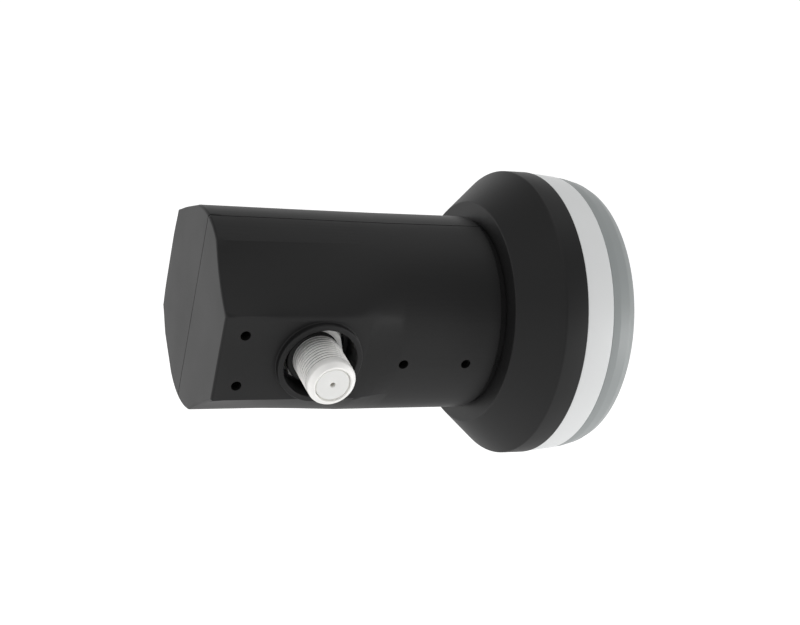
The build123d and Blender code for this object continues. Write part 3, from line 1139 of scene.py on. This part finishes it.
@dataclass
class FConnector:
    """The threaded barrel with its hexagonal foot, its insulator and a rubber ring at the thread's foot."""

    lathe: Lathe
    steps: int = 4

    shank_depth: float = 12.25
    shank_radius: float = 4.4
    bore_radius: float = 3.45
    bore_flare: float = 0.1
    bore_flare_depth: float = 0.25
    bore_edge: float = 0.06
    overlap: float = 0.1
    foot_lip: float = 0.05
    nose_radius: float = 4.7
    nose_length: float = 1.85
    nose_chamfer: float = 0.8
    nose_roundings: tuple[float, float] = (0.6, 0.4)

    hex_height: float = 3.25
    hex_flats: float = 11.2
    hex_turn: float = 50.0
    hex_steps: int = 96
    hex_overlap: float = 0.15
    hex_edge: float = 0.02
    hex_chamfer_radius: float = 5.9
    hex_chamfer_slope: float = 30.0
    hex_chamfer_step: float = 0.03
    hex_sharp_angle: float = 20.0

    # The rubber ring, whose outer edge sits off centre along X and Z
    ring_radius: float = 5.3
    ring_height: float = 1.5
    ring_shift: tuple[float, float] = (-0.45, -0.3)
    ring_overlap: float = 0.05
    ring_gap: float = 0.02
    ring_roundings: tuple[float, float] = (0.2, 0.3)

    # The thread: its crests are flat, and its grooves run in and out over a part of a turn
    thread_pitch: float = 0.79375
    thread_groove: float = 0.42
    crest_slope: float = 2.6
    root_flat: float = 0.1
    run_in: float = 0.5
    run_out: float = 0.9
    lead_turns: float = 8.0
    thread_columns: int = 97
    thread_rows: int = 237
    thread_sharp_angle: float = 80.0

    insulator_radius: float = 3.4
    insulator_recess: float = 0.15
    insulator_chamfer: tuple[float, float] = (0.45, 0.22)
    insulator_edge: float = 0.06
    mouth_radius: float = 0.5
    mouth_edge: float = 0.12
    mouth_length: float = 1.2
    contact_radius: float = 1.05

    @property
    def hex_depth(self) -> float:
        """The depth of the hexagon's inner face."""
        return LAYOUT.hex_top - self.hex_height

    @property
    def thread_foot(self) -> float:
        """The depth where the thread comes out of its rubber ring."""
        return LAYOUT.hex_top + self.ring_height

    @property
    def nose_top(self) -> float:
        """The depth of the connector's face."""
        return LAYOUT.thread_top + self.nose_length

    @property
    def root_radius(self) -> float:
        """The radius at the bottom of the thread's grooves."""
        return LAYOUT.thread_radius - self.thread_groove

    def build(self) -> None:
        """Builds and dresses the connector's pieces."""
        barrel = joined("nickel_barrel", [self.thread(), self.core(), self.hexagon()])
        add_piece("nickel_barrel", barrel, Slot.NICKEL_PLATE, "connector_barrel")
        add_piece("white_insulator_plug", self.insulator(), Slot.WHITE_INSULATOR, "connector_insulator")
        add_piece("rubber_foot_ring", self.foot_ring(), Slot.BLACK_RUBBER)

    def core(self) -> Mesh:
        """The nose with its chamfer, the bore and the shank under the hexagon.

        Returns:
            The core's mesh.
        """
        inner = self.root_radius - self.overlap
        neck = LAYOUT.thread_top - self.overlap
        face = self.nose_top
        side_rounding, face_rounding = self.nose_roundings
        corners = [
            Corner(self.shank_depth, self.bore_radius),
            Corner(self.shank_depth, self.shank_radius),
            Corner(self.hex_depth + self.overlap, self.shank_radius),
            Corner(self.hex_depth + self.overlap, inner),
            Corner(self.thread_foot, inner),
            Corner(self.thread_foot, LAYOUT.thread_radius),
            Corner(self.thread_foot + self.foot_lip, inner),
            Corner(neck, inner),
            Corner(neck, self.nose_radius),
            Corner(face - self.nose_chamfer, self.nose_radius, side_rounding),
            Corner(face, self.nose_radius - self.nose_chamfer, face_rounding),
            Corner(face, self.bore_radius + self.bore_flare, self.bore_edge),
            Corner(face - self.bore_flare_depth, self.bore_radius),
        ]
        return self.lathe.turned("connector_core", rounded(corners, self.steps), Turn.CONNECTOR)

    def foot_ring(self) -> Mesh:
        """The rubber ring round the barrel's foot, above the hexagon.

        Returns:
            The ring's mesh.
        """
        inner = self.root_radius - self.ring_overlap
        foot, top = LAYOUT.hex_top, self.thread_foot - self.ring_gap
        foot_rounding, top_rounding = self.ring_roundings
        corners = [
            Corner(foot, inner),
            Corner(foot, self.ring_radius, foot_rounding),
            Corner(top, self.ring_radius, top_rounding),
            Corner(top, inner),
        ]
        mesh = self.lathe.turned("rubber_foot_ring", rounded(corners), Turn.CONNECTOR)
        shift_x, shift_z = self.ring_shift
        for vertex in mesh.vertices:
            radius = math.hypot(vertex.co.x / MM - LAYOUT.connector, vertex.co.z / MM)
            share = (radius - inner) / (self.ring_radius - inner)
            vertex.co.x += shift_x * share * MM
            vertex.co.z += shift_z * share * MM
        return mesh

    def hexagon(self) -> Mesh:
        """The hexagonal foot with the chamfer that a nut has on its outer face.

        Returns:
            The hexagon's mesh.
        """
        inner = self.root_radius - self.hex_overlap
        foot, top = self.hex_depth, LAYOUT.hex_top
        slope = math.tan(math.radians(self.hex_chamfer_slope))
        half_side = math.pi / 6

        def profile_at(angle: float) -> Profile:
            """The hexagon's profile on one side.

            Args:
                angle: The angle from the first profile, in radians.

            Returns:
                Places along the connector's axis and radii, in mm.
            """
            sector = (angle + half_side) % (2 * half_side) - half_side
            outer = self.hex_flats / 2 / math.cos(half_side - abs(sector))
            edge = top - max(0.0, outer - self.hex_chamfer_radius) * slope
            return (
                (foot, inner),
                (foot, outer),
                (edge - self.hex_edge, outer),
                (edge, outer - self.hex_edge),
                (top, min(self.hex_chamfer_radius, outer - self.hex_chamfer_step)),
                (top, inner),
            )

        start = math.radians(self.hex_turn)
        return self.lathe.swept(
            "connector_hexagon", profile_at, Turn.CONNECTOR, self.hex_steps, self.hex_sharp_angle, start
        )

    def thread(self) -> Mesh:
        """The right-handed thread, made by a Geometry Nodes tree and turned into a plain mesh.

        Returns:
            The thread's mesh.
        """
        sizes = {
            "Radius": LAYOUT.thread_radius * MM,
            "Groove": self.thread_groove * MM,
            "Pitch": self.thread_pitch * MM,
            "Length": (LAYOUT.thread_top - self.thread_foot) * MM,
            "Foot": self.thread_foot * MM,
            "Axis": LAYOUT.connector * MM,
        }
        tree, inputs = self.thread_tree(tuple(sizes))
        holder = linked("thread_holder", bpy.data.meshes.new("thread_holder"))
        modifier = holder.modifiers.new("thread", "NODES")
        modifier.node_group = tree
        for name, value in sizes.items():
            modifier[inputs[name]] = value
        result = modified_mesh(holder)
        shape = bmesh.new()
        shape.from_mesh(result)
        bpy.data.meshes.remove(result)
        return finished_mesh("connector_thread", shape, self.thread_sharp_angle)

    def thread_tree(self, names: Sequence[str]) -> tuple[bpy.types.NodeTree, dict[str, str]]:
        """The tree that bends a flat grid into a threaded sleeve.

        Args:
            names: The sizes that it takes.

        Returns:
            The tree, and the identifier of each size's input.
        """
        tree = bpy.data.node_groups.new("helical_thread", "GeometryNodeTree")
        sockets = tree.interface
        inputs = {
            name: sockets.new_socket(name=name, in_out="INPUT", socket_type="NodeSocketFloat").identifier
            for name in names
        }
        sockets.new_socket(name="Geometry", in_out="OUTPUT", socket_type="NodeSocketGeometry")
        graph = NodeGraph(tree)
        given = graph.node("NodeGroupInput")
        size = {name: graph.signal(given, name) for name in names}
        cells = {"Vertices X": self.thread_columns, "Vertices Y": self.thread_rows}
        grid = graph.node("GeometryNodeMeshGrid", None, {"Size X": 1.0, "Size Y": 1.0, **cells})
        where = graph.node("GeometryNodeInputPosition").outputs[0]
        around = graph.part(where, 0) + 0.5
        along = (graph.part(where, 1) + 0.5) * size["Length"]
        phase = (along / size["Pitch"] - around + self.lead_turns).fraction()
        crest = ((1.0 - 2.0 * phase.swing().size()) * self.crest_slope - self.root_flat).ease()
        enters = (along / (size["Pitch"] * self.run_in)).clamped()
        leaves = ((size["Length"] - along) / (size["Pitch"] * self.run_out)).clamped()
        radius = size["Radius"] - size["Groove"] * (1.0 - crest) * (leaves * enters)
        angle = around * (2 * math.pi)
        bent = {
            0: size["Axis"] + radius * angle.cosine(),
            1: (size["Foot"] + along) * -1.0,
            2: radius * angle.sine(),
        }
        position = graph.node("ShaderNodeCombineXYZ", None, bent).outputs[0]
        made = grid.outputs["Mesh"]
        for kind, extra in (
            ("GeometryNodeSetPosition", {"Position": position}),
            ("GeometryNodeMergeByDistance", {"Distance": WELD}),
            ("GeometryNodeRealizeInstances", {}),
            ("GeometryNodeSetMaterial", {"Material": FINISHES[Slot.NICKEL_PLATE].material()}),
        ):
            made = graph.node(kind, None, {"Geometry": made, **extra}).outputs[0]
        graph.node("NodeGroupOutput", None, {"Geometry": made})
        return tree, inputs

    def insulator(self) -> Mesh:
        """The white plug that fills the barrel, with a chamfered edge and a mouth for the plug's wire.

        Returns:
            The insulator's mesh.
        """
        top = self.nose_top - self.insulator_recess
        mouth = top - self.mouth_length
        chamfer_depth, chamfer_width = self.insulator_chamfer
        corners = [
            Corner(self.shank_depth, self.contact_radius),
            Corner(self.shank_depth, self.insulator_radius),
            Corner(top - chamfer_depth, self.insulator_radius),
            Corner(top, self.insulator_radius - chamfer_width, self.insulator_edge),
            Corner(top, self.mouth_radius, self.mouth_edge),
            Corner(mouth, self.mouth_radius),
            Corner(mouth, self.contact_radius),
        ]
        return self.lathe.turned("white_insulator_plug", rounded(corners, self.steps), Turn.CONNECTOR)


@dataclass
class InnerParts:
    """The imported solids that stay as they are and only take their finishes."""

    nodes: Mapping[str, bpy.types.Object]
    record: Mapping[str, Any]

    def dress(self) -> None:
        """Gives every node that still shows the material of its record slot."""
        for row in self.record["subparts"]:
            node = self.nodes[row["node"]]
            if node.hide_render:
                continue
            node.data.materials.clear()
            node.data.materials.append(FINISHES[Slot(row["material_slot"])].material())
            log.info("%s: packed solid in %s", row["node"], row["material_slot"])


@dataclass(frozen=True)
class Lamp:
    """A lamp: its place, its side or diameter in metres, and its power in watts."""

    name: str
    kind: LampKind
    place: Place
    size: float
    power: float

    def add(self) -> None:
        """Adds the lamp, facing the part; a globe has no edge to show on the floor."""
        data = bpy.data.lights.new(self.name, self.kind.value)
        data.energy = self.power
        if self.kind is LampKind.SOFTBOX:
            data.shape = "SQUARE"
            data.size = self.size
        else:
            data.shadow_soft_size = self.size / 2
        lamp = linked(self.name, data)
        lamp.location = self.place
        lamp.rotation_euler = (-Vector(self.place)).to_track_quat("-Z", "Y").to_euler()


@dataclass
class Studio:
    """Camera, floor, world and lamps, in metres."""

    # The camera that was fitted to the photograph
    camera_place: Place = (-0.12683, -0.23724, 0.13575)
    camera_right: Place = (0.9115, -0.3525, 0.2122)
    camera_up: Place = (-0.0078, 0.5008, 0.8655)
    lens: float = 65.25
    sensor: float = 36.0
    clip_start: float = 0.01

    # The floor: a painted shadow dims its glow beneath the part, more widely so in reflections, and painted
    # shade dims it in front of the part
    floor_drop: float = 0.25
    floor_reach: float = 6.0
    floor_sides: int = 96
    floor_colour: Colour = (0.62, 0.62, 0.62)
    floor_glow: float = 0.74
    floor_painted_shadow: float = 0.8
    painted_shadow_place: Place = (0.08, 0.03, 0.0)
    painted_shadow_reach: float = 0.18
    reflected_shadow_reach: float = 0.28
    front_painted_shade: float = 0.25
    front_reach: float = 0.3
    front_start: float = 0.7
    front_fade: float = 1.2

    # The sky: white at the horizon and dimmer overhead, with its own level for diffuse light
    sky_level: float = 1.0
    sky_high: float = 0.30
    sky_foot: float = 0.05
    sky_rise: float = 0.55
    diffuse_level: float = 0.45

    lamps: tuple[Lamp, ...] = (
        Lamp("overhead_softbox", LampKind.SOFTBOX, (-0.10, -0.10, 0.75), 0.8, 1.15),
        Lamp("rear_softbox", LampKind.SOFTBOX, (-0.75, 0.15, 0.18), 0.6, 1.0),
        Lamp("upper_back_softbox", LampKind.SOFTBOX, (0.30, 0.30, 0.66), 0.5, 0.45),
        Lamp("horn_globe", LampKind.GLOBE, (0.85, -0.40, 0.0), 0.3, 8.8),
    )

    def build(self) -> None:
        """Builds the whole studio."""
        bpy.context.scene.view_settings.view_transform = "Standard"
        self.add_camera()
        self.add_floor()
        self.add_world()
        for lamp in self.lamps:
            lamp.add()

    def add_camera(self) -> None:
        """Adds the camera at the place fitted to the photograph."""
        data = bpy.data.cameras.new("camera")
        data.lens = self.lens
        data.sensor_width = self.sensor
        data.sensor_fit = "HORIZONTAL"
        data.clip_start = self.clip_start
        right = Vector(self.camera_right).normalized()
        up = Vector(self.camera_up)
        up = (up - right * up.dot(right)).normalized()
        turn = Matrix((right, up, right.cross(up))).transposed().to_4x4()
        camera = linked("camera", data)
        camera.matrix_world = Matrix.Translation(self.camera_place) @ turn
        bpy.context.scene.camera = camera

    def add_floor(self) -> None:
        """Adds the pale floor, which glows a little so that it renders white and still takes a shadow."""
        shape = bmesh.new()
        bmesh.ops.create_circle(shape, cap_ends=True, segments=self.floor_sides, radius=self.floor_reach)
        bmesh.ops.translate(shape, verts=shape.verts, vec=(0.0, 0.0, -self.floor_drop))
        mesh = bpy.data.meshes.new("floor")
        shape.to_mesh(mesh)
        shape.free()
        material, graph = new_material("studio_floor")
        pale = graph.node("ShaderNodeBsdfDiffuse", None, {"Color": (*self.floor_colour, 1.0)})
        glow = graph.node("ShaderNodeEmission", None, {"Color": WHITE, "Strength": self.floor_level(graph)})
        both = graph.node("ShaderNodeAddShader", None, {0: pale.outputs[0], 1: glow.outputs[0]})
        graph.node("ShaderNodeOutputMaterial", None, {"Surface": both.outputs[0]})
        mesh.materials.append(material)
        floor = linked("floor", mesh)

    def floor_level(self, graph: ShaderGraph) -> Signal:
        """How strongly the floor glows at each place, less where a painted shadow lies beneath the part and
        where painted shade lies in front of it.

        Args:
            graph: The floor's tree.

        Returns:
            The strength.
        """
        away = graph.distance(graph.place((1.0, 1.0, 0.0)), self.painted_shadow_place)
        seen = graph.signal(graph.node("ShaderNodeLightPath"), "Is Camera Ray")
        reach = seen * (self.painted_shadow_reach - self.reflected_shadow_reach) + self.reflected_shadow_reach
        # Painted shadow: the glow dims beneath the part, over a wider patch for rays that are not the
        # camera's
        beneath = 1.0 - (away / reach).ease()
        # Painted shade: the glow also dims on the part's front side and fades out further away
        ahead = (graph.part(graph.place(), 1) * -1.0 / self.front_reach).ease()
        front = ahead * (1.0 - ((away - self.front_start) / self.front_fade).ease())
        return (1.0 - beneath * self.floor_painted_shadow) * (1.0 - front * self.front_painted_shade) * self.floor_glow

    def add_world(self) -> None:
        """Adds the world: a white horizon that dims overhead, seen by the camera and in reflections."""
        world = bpy.data.worlds.new("studio")
        bpy.context.scene.world = world
        world.use_nodes = True
        world.node_tree.nodes.clear()
        graph = ShaderGraph(world.node_tree)
        direction = graph.node("ShaderNodeTexCoord").outputs["Generated"]
        height = ((graph.part(direction, 2) - self.sky_foot) / self.sky_rise).ease()
        sky = self.sky_level + (self.sky_high - self.sky_level) * height
        path = graph.node("ShaderNodeLightPath")
        camera, glossy, transmission = (
            graph.signal(path, f"Is {kind} Ray") for kind in ("Camera", "Glossy", "Transmission")
        )
        shown = (camera + glossy + transmission).clamped()
        level = shown * sky + (1.0 - shown) * self.diffuse_level
        background = graph.node("ShaderNodeBackground", None, {"Color": WHITE, "Strength": level})
        graph.node("ShaderNodeOutputWorld", None, {"Surface": background.outputs[0]})


def main() -> None:
    """Loads the frame, builds each sub-assembly and the studio, and reports the pieces."""
    logging.basicConfig(level=logging.INFO, format="%(name)s %(message)s")
    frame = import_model()
    lathe = Lathe()
    Housing(frame["nodes"], lathe).build()
    HornEnd(lathe).build()
    FConnector(lathe).build()
    InnerParts(frame["nodes"], frame["record"]).dress()
    Studio().build()


if __name__ == "__main__":
    main()
